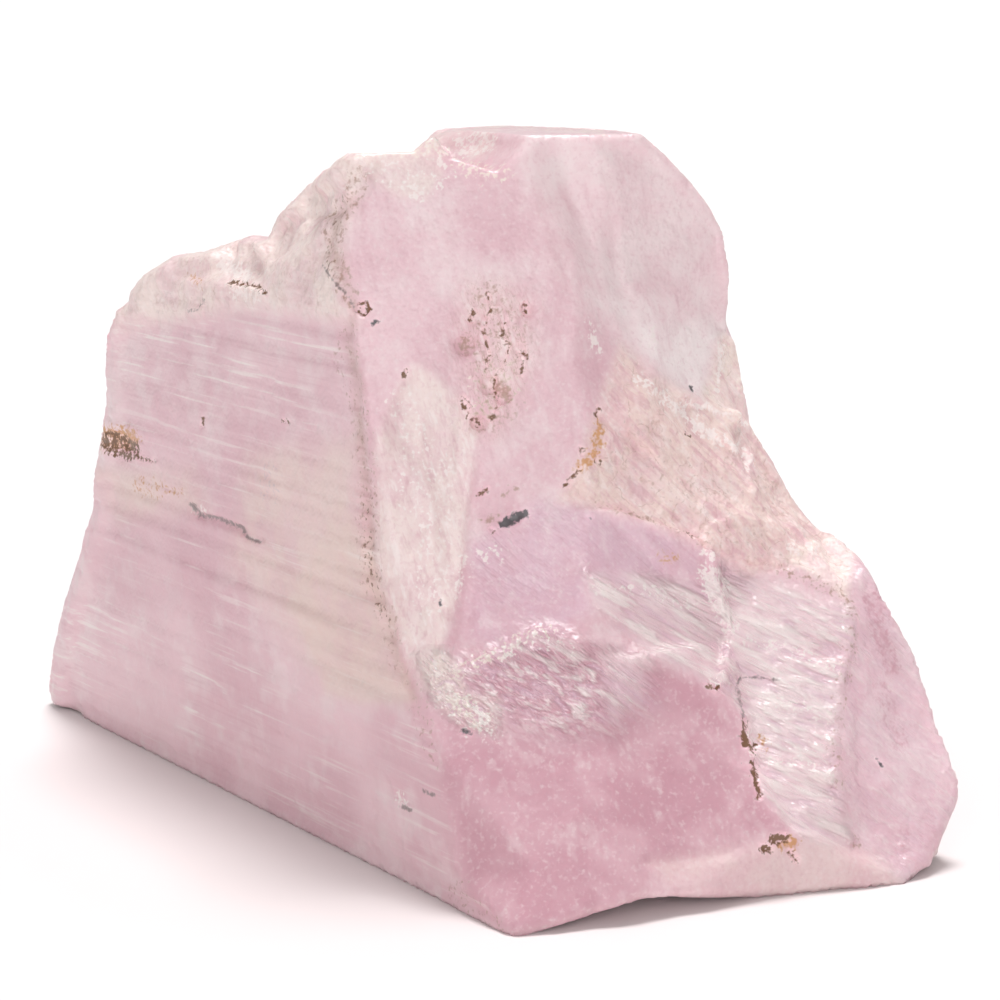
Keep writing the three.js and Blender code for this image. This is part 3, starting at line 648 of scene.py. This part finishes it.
def prism_relief(points, zone):
    """Fine striae along the crystal's axis on the prism faces."""
    lines = drawn_out(points, long_axis, 14.0, 0.8)
    fine = drawn_out(points, long_axis, 6.0, 0.42)
    strong = 0.55 + 0.45 * layered_noise(points / 5.0, 5, 2)
    striae = ridged_noise(lines, 3, 2) * 0.6 + value_noise(fine, 4) * 0.5
    return zone * strong * PRISM_STRIA_HEIGHT * (striae - 0.3)


def silk_relief(points, zone):
    """Long curved steps of the silky cleavage."""
    bent = points.copy()
    bent[:, 2] += SILK_BEND * np.sin(points[:, 0] * 0.9)
    steps = ridged_noise(drawn_out(bent, silk_run, 4.5, 0.6), 11, 2)
    fine = value_noise(drawn_out(bent, silk_run, 2.4, 0.3), 12)
    return zone * (SILK_STEP_HEIGHT * (steps - 0.5) + SILK_FINE_HEIGHT * fine)


def rough_relief(points, zone, height, size, seed):
    """Crumbly broken surface."""
    crests = ridged_noise(points / size, seed, 3)
    lumps = layered_noise(points / size / 1.7, seed + 5, 3)
    return zone * height * (0.6 * (crests - 0.5) + 0.6 * lumps)


def form_relief(pixels, seen):
    """The ribs, grooves and ledges of FORMS."""
    height = np.zeros(len(pixels))
    for kind, width, rise, line in FORMS.values():
        distance, side = line_distance(pixels, line)
        if kind == "rib":
            height += rise * np.exp(-(distance / width) ** 2)
        else:
            fall = np.exp(-distance / (width * 1.6))
            height += rise * fall * np.clip(-side * distance / 1.5, -0.4, 1.0)
    return height * seen


def laid_on_solid(points, node):
    """Each point moved to the nearest place on the CAD solid."""
    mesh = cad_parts[node].data
    corners = [vertex.co / MM for vertex in mesh.vertices]
    tree = BVHTree.FromPolygons(corners, [list(polygon.vertices) for polygon in mesh.polygons])
    return np.array([tree.find_nearest(Vector(point))[0] for point in points])


def mark_fields(pixels, seen):
    """For each kind of marking, 1 well inside one, 0 where half is covered, -1 outside."""
    fields = {}
    for kind, marks in MARKS.items():
        fields[kind] = np.full(len(pixels), -1.0)
        for width, cover, line in marks.values():
            distance, _ = line_distance(pixels, line)
            field = np.clip((width - distance) / MARK_DEPTH, -1, 2 * cover - 1)
            fields[kind] = np.maximum(fields[kind], np.where(seen > 0.5, field, -1))
    return fields


def outline_push(pixels, points, normals):
    """How far the rim moves out or in in one round, so that the crystal ends where its outline does."""
    distance, side = line_distance(pixels, OUTLINE)
    way = CAMERA_PLACE - points
    turn = np.abs((way * normals).sum(1)) / lengths(way)
    edge_on = 1 - smooth_step(turn, 0.15, 0.6)
    near_rim = 1 - smooth_step(distance, 12, 22)
    return np.clip(side * distance, -5, 9) / PIXELS_PER_MM * edge_on * near_rim


def build_surface():
    points, faces = even_mesh("kunzite_crystal")
    points, faces = divided(points, faces, wanted_edge)
    edges, _ = edge_list(faces)
    count = np.bincount(edges.ravel(), minlength=len(points)).astype(float)
    points = laid_on_solid(blurred(points, edges, count, RELAX_ROUNDS), "kunzite_crystal")
    floor = points[:, 2] < UNDERSIDE
    sharp = points
    points = points + WEAR * (neighbour_mean(points, edges, count) - points)
    points[floor, 2] = 0
    normals = point_normals(points, faces)
    # How far an edge stood out before wear rounded it. The material whitens these rims, partly as wear
    # and partly as a painted highlight.
    worn_and_sheen = ((sharp - points) * normals).sum(1)
    normals = blurred(normals, edges, count, 2)
    normals /= np.linalg.norm(normals, axis=1, keepdims=True)
    pixels = to_pixels(points)
    seen = blurred(seen_from_camera(points, faces, normals), edges, count, 2)

    masks = {name: inside_zone(pixels, *zone) * seen for name, zone in ZONES.items()}
    masks["prism"] = smooth_step(np.abs(normals @ near_normal), 0.93, 0.98)
    masks["hidden"] = 1 - seen
    masks["cloud"] = 0.5 + 0.5 * layered_noise(points / CLOUD_SIZE, 101, 2)
    masks["mottle"] = 0.5 + 0.5 * layered_noise(points / MOTTLE_SIZE, 111, 4, 0.65)
    masks["silky"] = np.maximum(masks["silk"], 0.8 * masks["apron_streaks"])
    masks["silky"] = np.maximum(masks["silky"], 0.15 * masks["right_end"])
    # The side away from the camera has silky and pale patches of its own, and dust in its creases.
    away = masks["hidden"] * (1 - masks["prism"])
    silk_patches = smooth_step(layered_noise(points / 5, 121, 2), 0.1, 0.35)
    masks["silky"] = np.maximum(masks["silky"], 0.5 * away * silk_patches)
    masks["away_pale"] = masks["hidden"] * smooth_step(layered_noise(points / 6, 131, 2), 0.0, 0.35)
    creases = ridged_noise(points / 6, 141, 2) + 0.15 * layered_noise(points, 151, 2)

    relief = prism_relief(points, masks["prism"])
    relief += silk_relief(points, masks["silky"])
    for zone, (height, size, seed) in CRUMBS.items():
        relief += rough_relief(points, masks[zone], height, size, seed)
    relief += SHOULDER_SWELL * masks["shoulder"]
    relief += rough_relief(drawn_out(points, view_up, 2.5, 0.8), masks["veil"], 0.14, 1.0, 61)
    relief += rough_relief(points, away, 0.3, 2.6, 71) + rough_relief(points, away, 0.12, 1.1, 75)
    relief += LUMP_HEIGHT * layered_noise(points / 1.8, 81, 4)
    relief += form_relief(pixels, seen)
    chips = smooth_step(layered_noise(points / 0.7, 91, 3), -0.2, 0.4)
    relief -= chips * np.clip(worn_and_sheen, 0, CHIP_DEPTH)
    fields = mark_fields(pixels, seen)
    crease_dust = np.where(away > 0.5, smooth_step(creases, 0.86, 1.0) - 1, -1)
    fields["dust"] = np.maximum(fields["dust"], crease_dust)
    relief -= BROWN_DENT * smooth_step(fields["brown"], -0.3, 0.6)
    relief -= DARK_DENT * smooth_step(fields["dark"], -0.3, 0.6)
    lifted = smooth_step(points[:, 2], 0.02, 0.5)
    points = points + normals * (relief * lifted)[:, None]
    for _ in range(OUTLINE_ROUNDS):
        push = blurred(outline_push(to_pixels(points), points, normals), edges, count, 4)
        points = points + normals * (push * lifted)[:, None]
    points[:, 2] = np.maximum(points[:, 2], 0)
    points = np.clip(points, np.array(cad_low) / MM, np.array(cad_high) / MM)
    # Rims that stood out: rougher, and whitened partly as wear and partly as a painted highlight.
    masks["worn_and_sheen"] = smooth_step(blurred(worn_and_sheen, edges, count, 1), 0.01, 0.05)
    return points, faces, masks, fields


def crystal_object(points, faces, masks, fields):
    mesh = bpy.data.meshes.new("crystal_surface")
    mesh.from_pydata((points * MM).tolist(), [], faces.tolist())
    mesh.update()
    for name, values in {**material_masks(masks), **fields}.items():
        layer = mesh.attributes.new(name, "FLOAT", "POINT")
        layer.data.foreach_set("value", values.astype(np.float32))
    layer = mesh.attributes.new("tint", "FLOAT_VECTOR", "POINT")
    layer.data.foreach_set("vector", point_tints(masks).astype(np.float32).ravel())
    mesh.shade_smooth()
    crystal = bpy.data.objects.new("crystal_surface", mesh)
    bpy.context.scene.collection.objects.link(crystal)
    return crystal


# ---- material -----------------------------------------------------------------------------------

def linear(red, green, blue):
    """Screen colour, 0 to 255, as the renderer's linear colour."""
    channels = []
    for value in (red, green, blue):
        share = value / 255
        channels.append(share / 12.92 if share <= 0.04045 else ((share + 0.055) / 1.055) ** 2.4)
    return (*channels, 1.0)


PINK = linear(237, 201, 208)
ROSE = linear(207, 153, 167)
MAUVE = linear(222, 182, 200)
VEIL = linear(242, 224, 218)
PALE = linear(243, 224, 225)
BEIGE = linear(234, 210, 198)
CREAM = linear(244, 229, 219)
WHITE = linear(247, 234, 231)
# Near-white: the hollow's pale colour and the painted light laid over it.
BRIGHT = linear(255, 240, 240)
BROWN = linear(112, 78, 54)
RUST = linear(206, 152, 104)
DUST = linear(172, 134, 118)
DARK = linear(84, 78, 82)
GREY = linear(132, 116, 116)
BLUE = linear(180, 176, 190)


class Nodes:
    """Builds a material's node tree in short calls."""

    def __init__(self, tree):
        self.tree = tree

    def add(self, kind, **settings):
        node = self.tree.nodes.new(kind)
        for name, value in settings.items():
            setattr(node, name, value)
        return node

    def put(self, socket, value):
        if isinstance(value, bpy.types.NodeSocket):
            self.tree.links.new(value, socket)
        else:
            socket.default_value = value

    def math(self, operation, first, *others):
        """The sum, product and so on of a value and the others."""
        for other in others:
            node = self.add("ShaderNodeMath", operation=operation)
            self.put(node.inputs[0], first)
            self.put(node.inputs[1], other)
            first = node.outputs[0]
        return first

    def mask(self, name):
        return self.add("ShaderNodeAttribute", attribute_name=name).outputs["Fac"]

    def mix(self, share, a, b):
        node = self.add("ShaderNodeMix", data_type="RGBA")
        self.put(node.inputs[0], share)
        self.put(node.inputs[6], a)
        self.put(node.inputs[7], b)
        return node.outputs[2]

    def remap(self, value, low, high, to_low=0.0, to_high=1.0):
        node = self.add("ShaderNodeMapRange")
        for socket, given in zip(node.inputs, (value, low, high, to_low, to_high)):
            self.put(socket, given)
        return node.outputs[0]

    def noise(self, place, scale, detail=4.0, roughness=0.55):
        node = self.add("ShaderNodeTexNoise")
        self.put(node.inputs["Vector"], place)
        node.inputs["Scale"].default_value = scale
        node.inputs["Detail"].default_value = detail
        node.inputs["Roughness"].default_value = roughness
        return node.outputs["Fac"]

    def turned(self, place, turn, scale):
        """Coordinates turned by Euler angles in degrees, then scaled."""
        turning = self.add("ShaderNodeVectorRotate", rotation_type="EULER_XYZ", invert=True)
        self.put(turning.inputs["Vector"], place)
        turning.inputs["Rotation"].default_value = [math.radians(angle) for angle in turn]
        scaling = self.add("ShaderNodeVectorMath", operation="MULTIPLY")
        self.put(scaling.inputs[0], turning.outputs[0])
        scaling.inputs[1].default_value = scale
        return scaling.outputs[0]


VEIN_WIDTH = 0.02


def vein(n, value):
    """Thin lines where a noise crosses its middle value."""
    off = n.math("ABSOLUTE", n.math("SUBTRACT", value, 0.5), 0.0)
    return n.remap(off, 0.0, VEIN_WIDTH, 1.0, 0.0)


# zone: tint, strength
ZONE_TINTS = {
    "block": (PALE, 0.7), "apron": (ROSE, 0.95), "mauve": (MAUVE, 0.65), "right_end": (MAUVE, 0.3),
    # The hollow's near-white tint, above full strength, is partly painted light in a hollow that lies in
    # shade.
    "veil": (VEIL, 0.8), "prism_pale": (BEIGE, 0.55), "hollow_pale_and_painted_light": (BRIGHT, 1.25), "silk": (PALE, 0.6),
    "end_pale": (PALE, 0.6), "prism_stain": (BEIGE, 0.6), "slope": (BEIGE, 0.7), "shoulder": (VEIL, 0.95),
    "hem": (BEIGE, 0.3), "slope_rim": (CREAM, 0.5), "block_cream": (CREAM, 0.5),
    "peak_cream": (VEIL, 0.85), "veil_foot": (CREAM, 0.6), "corner_cream": (CREAM, 0.8),
    "apron_pale": (PALE, 0.5), "pit_cluster": (BEIGE, 0.3), "striae_dark": (ROSE, 0.3),
    "prism_foot": (WHITE, 0.5), "ridge": (DUST, 0.45), "prism_pale_foot": (BEIGE, 0.4),
    "away_pale": (VEIL, 0.5),
}

# kind of marking: tint, how far noise frays its edge, how quickly it covers, how well it covers
MARK_TINTS = {
    "cream": (CREAM, 1.3, 0.7, 0.85), "rose": (ROSE, 0.8, 1.2, 0.8), "blue": (BLUE, 0.9, 1.4, 0.6),
    "dust": (DUST, 0.95, 0.9, 0.8), "rust": (RUST, 1.0, 0.9, 0.95), "white": (WHITE, 1.0, 0.5, 0.85),
    "grey": (GREY, 0.25, 0.35, 0.85), "brown": (BROWN, 0.5, 0.4, 1.0), "dark": (DARK, 0.35, 0.4, 1.0),
}


def remapped(values, low, high, to_low, to_high):
    """Values from low to high laid over another range, and held at its ends."""
    share = np.clip((values - low) / (high - low), 0, 1)
    return to_low + share * (to_high - to_low)


def tinted(under, share, tint):
    """The colour of every point with a tint laid over it."""
    share = np.clip(share, 0, 1)[:, None]
    return under * (1 - share) + np.array(tint[:3]) * share


def point_tints(masks):
    """Broad colour of every point: pink, deeper in the lower body, veiled and paler elsewhere."""
    mottle = masks["mottle"]
    tints = tinted(np.array(PINK[:3]), remapped(masks["cloud"], 0.35, 0.7, 0.0, 0.4), ROSE)
    tints = tinted(tints, remapped(mottle, 0.48, 0.72, 0.0, 0.5), PALE)
    broken = remapped(mottle, 0.32, 0.58, 0.5, 1.0)
    for zone, (tint, strength) in ZONE_TINTS.items():
        tints = tinted(tints, masks[zone] * broken * strength, tint)
    return tints


def material_masks(masks):
    """The masks that the material reads, put together from the zones."""
    cluster = masks["pit_cluster"]
    patches = remapped(masks["cloud"], 0.44, 0.6, 0.2, 0.6)
    for zone in ("striae_top", "striae_corner", "striae_low"):
        in_zone = masks[zone] * remapped(masks["mottle"], 0.3, 0.5, 0.6, 1.0)
        patches = np.maximum(patches, in_zone)
    most = np.maximum.reduce
    made = {name: masks[name] for name in ("silky", "slope", "shoulder", "pit_cluster", "worn_and_sheen", "mottle")}
    made["rough"] = most([masks["slope"], 0.6 * masks["shoulder"], 0.5 * cluster, masks["corner_cream"],
                          0.6 * masks["hidden"]])
    made["veiled"] = most([masks["veil"], 0.8 * cluster])
    made["feathered"] = most([masks["apron_streaks"], masks["veil_foot"], 0.14 * masks["mauve"],
                              0.4 * masks["right_end"]])
    made["plain"] = 1 - most([masks["prism"], masks["silky"]])
    made["lined"] = masks["prism"] * patches
    return made


def crystal_material():
    material = bpy.data.materials.new("kunzite")
    material.use_nodes = True
    tree = material.node_tree
    tree.nodes.clear()
    n = Nodes(tree)
    output = n.add("ShaderNodeOutputMaterial")
    shader = n.add("ShaderNodeBsdfPrincipled")
    tree.links.new(shader.outputs[0], output.inputs["Surface"])

    place = n.add("ShaderNodeTexCoord").outputs["Object"]
    fine = n.noise(place, 1700, 2.0, 0.7)
    axis_place = n.turned(place, (0, 0, LONG_AXIS_TURN), (0.03, 1.0, 1.0))
    striae = n.noise(axis_place, 4400, 2.0, 0.6)
    silk_place = n.turned(place, (0, 28, 6), (0.14, 1.0, 1.0))
    silk = n.noise(silk_place, 2600, 2.0, 0.6)
    feather_place = n.turned(place, (0, 42, 0), (0.16, 1.0, 1.0))
    feather = n.noise(feather_place, 3400, 2.0, 0.6)
    flow_place = n.turned(place, (0, 76, 0), (0.2, 1.0, 1.0))
    flow = n.noise(flow_place, 1500, 2.0, 0.65)
    thread = n.noise(flow_place, 4200, 2.0, 0.65)
    ragged = n.noise(place, 5000, 1.5, 0.75)

    silky, slope, shoulder, cluster = map(n.mask, ("silky", "slope", "shoulder", "pit_cluster"))
    worn_and_sheen, rough, veiled, feathered = map(n.mask, ("worn_and_sheen", "rough", "veiled", "feathered"))
    plain, lined = n.mask("plain"), n.mask("lined")
    wrinkled = n.math("MULTIPLY", vein(n, n.mask("mottle")), rough)

    # Each layer: a noise, the levels between which it comes in, where, how strongly, and its tint.
    layers = [
        # Rims that stood out: whitened partly as wear and partly as a painted highlight.
        (fine, 0.4, 0.6, worn_and_sheen, 0.3, WHITE),
        # Striae: long fine lines, bright and dark, in patches.
        (striae, 0.57, 0.68, lined, 0.7, WHITE),
        (striae, 0.46, 0.34, lined, 0.25, ROSE),
        # Silk: steps of the cleavage that catch light.
        (silk, 0.52, 0.62, silky, 0.65, WHITE),
        (silk, 0.48, 0.36, silky, 0.45, MAUVE),
        # Feathers inside the smooth breaks, and streaks of the rough ones.
        (feather, 0.56, 0.66, feathered, 0.6, WHITE),
        (feather, 0.45, 0.36, feathered, 0.5, MAUVE),
        (feather, 0.54, 0.64, slope, 0.4, WHITE),
        (feather, 0.46, 0.36, slope, 0.4, ROSE),
        (silk, 0.54, 0.64, shoulder, 0.3, WHITE),
        (silk, 0.44, 0.34, shoulder, 0.15, DUST),
        # Grain of the plain faces.
        (flow, 0.56, 0.7, plain, 0.3, PALE),
        (ragged, 0.54, 0.74, plain, 0.4, PALE),
        (ragged, 0.46, 0.3, plain, 0.22, ROSE),
        (flow, 0.44, 0.32, plain, 0.2, ROSE),
        # Wrinkles and grain of the rough breaks, threads of the veil, cracks of the pit cluster.
        (ragged, 0.4, 0.6, wrinkled, 0.5, DUST),
        (fine, 0.42, 0.32, rough, 0.12, DUST),
        (fine, 0.56, 0.7, rough, 0.25, WHITE),
        (thread, 0.56, 0.66, veiled, 0.55, WHITE),
        (thread, 0.44, 0.34, veiled, 0.3, ROSE),
        (vein(n, thread), 0.0, 1.0, cluster, 0.6, DUST),
    ]
    # Markings: noise frays them, so that they are crumbs and not brush strokes.
    fray = n.remap(ragged, 0.3, 0.7, -1.0, 1.0)
    for kind, (tint, frayed, spread, cover) in MARK_TINTS.items():
        field = n.math("ADD", n.mask(kind), n.math("MULTIPLY", fray, frayed))
        layers.append((field, 0.0, spread, n.remap(n.mask(kind), -1.0, -0.75), cover, tint))
    colour = n.add("ShaderNodeAttribute", attribute_name="tint").outputs["Color"]
    for noise, low, high, where, strength, tint in layers:
        share = n.math("MULTIPLY", n.remap(noise, low, high), where, strength)
        colour = n.mix(share, colour, tint)
    n.put(shader.inputs["Base Color"], colour)

    roughness = n.math("ADD", n.remap(rough, 0.0, 1.0, 0.36, 0.55), n.remap(fine, 0.3, 0.7, -0.05, 0.1),
                       n.math("MULTIPLY", worn_and_sheen, 0.25))
    n.put(shader.inputs["Roughness"], roughness)

    clear = n.remap(rough, 0.0, 1.0, 0.18, 0.10)
    stained = n.remap(n.math("MAXIMUM", n.mask("brown"), n.mask("dark")), -0.5, 0.2, 1.0, 0.0)
    n.put(shader.inputs["Transmission Weight"], n.math("MULTIPLY", clear, stained))

    shader.inputs["IOR"].default_value = 1.66
    shader.inputs["Subsurface Weight"].default_value = 0.55
    shader.inputs["Subsurface Radius"].default_value = (1.0, 0.6, 0.7)
    shader.inputs["Subsurface Scale"].default_value = 0.001
    shader.subsurface_method = "BURLEY"

    height = n.math("ADD", n.math("MULTIPLY", silk, silky, 1.4),
                    n.math("MULTIPLY", feather, feathered, 1.4),
                    n.math("MULTIPLY", fine, rough, 0.5), n.math("MULTIPLY", fine, 0.22))
    bump = n.add("ShaderNodeBump")
    bump.inputs["Strength"].default_value = 1.0
    bump.inputs["Distance"].default_value = 0.00035
    n.put(bump.inputs["Height"], height)
    n.put(shader.inputs["Normal"], bump.outputs[0])

    absorb = n.add("ShaderNodeVolumeAbsorption")
    absorb.inputs["Color"].default_value = linear(238, 205, 216)
    absorb.inputs["Density"].default_value = 15.0
    tree.links.new(absorb.outputs[0], output.inputs["Volume"])
    return material


def floor_material():
    """White, and faintly pink beside the crystal, where light comes out of it onto the table."""
    material = bpy.data.materials.new("white_table")
    material.use_nodes = True
    n = Nodes(material.node_tree)
    shader = n.tree.nodes["Principled BSDF"]
    place = n.add("ShaderNodeTexCoord").outputs["Object"]
    distance = n.add("ShaderNodeVectorMath", operation="LENGTH")
    n.put(distance.inputs[0], place)
    glow = n.remap(distance.outputs["Value"], 0.018, 0.033, 1.0, 0.0)
    n.put(shader.inputs["Base Color"], n.mix(glow, (0.82, 0.82, 0.82, 1), (0.82, 0.75, 0.75, 1)))
    shader.inputs["Roughness"].default_value = 0.9
    shader.inputs["Specular IOR Level"].default_value = 0.1
    return material


# ---- stage --------------------------------------------------------------------------------------

def table_sheet():
    """A white table wide enough to fill the picture up to its horizon."""
    side = 24.0  # metres to each side
    mesh = bpy.data.meshes.new("white_table")
    corners = [(-side, -side, 0), (side, -side, 0), (side, side, 0), (-side, side, 0)]
    mesh.from_pydata(corners, [], [(0, 1, 2, 3)])
    mesh.update()
    table = bpy.data.objects.new("white_table", mesh)
    bpy.context.scene.collection.objects.link(table)
    table.data.materials.append(floor_material())


def soft_sun(name, come_from, spread, strength):
    data = bpy.data.lights.new(name, "SUN")
    data.angle = math.radians(spread)
    data.energy = strength
    sun = bpy.data.objects.new(name, data)
    sun.rotation_euler = Vector(come_from).to_track_quat("Z", "Y").to_euler()
    bpy.context.scene.collection.objects.link(sun)


def lights():
    world = bpy.data.worlds.new("white_room")
    world.use_nodes = True
    background = world.node_tree.nodes["Background"]
    background.inputs["Color"].default_value = (1.0, 0.985, 0.98, 1)
    background.inputs["Strength"].default_value = 0.45
    bpy.context.scene.world = world
    soft_sun("key", (0.05, 0.25, 1.0), 20, 2.5)
    soft_sun("front", (-0.08, -1.0, 0.2), 60, 1.58)


def camera():
    data = bpy.data.cameras.new("camera")
    data.lens = LENS
    data.sensor_width = SENSOR
    data.clip_start = 0.005
    data.clip_end = 20
    made = bpy.data.objects.new("camera", data)
    made.location = CAMERA_PLACE * MM
    made.rotation_euler = (math.radians(90 - CAMERA_TILT), 0, 0)
    bpy.context.scene.collection.objects.link(made)
    bpy.context.scene.camera = made


camera()
lights()
table_sheet()
crystal = crystal_object(*build_surface())
crystal.data.materials.append(crystal_material())
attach(crystal, "root")
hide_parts("kunzite_crystal")
light_paths = bpy.context.scene.cycles
light_paths.max_bounces = 4
light_paths.diffuse_bounces = 2
light_paths.glossy_bounces = 2
light_paths.transmission_bounces = 2
light_paths.volume_bounces = 0
bpy.context.scene.view_settings.view_transform = "Standard"
bpy.context.scene.view_settings.look = "None"
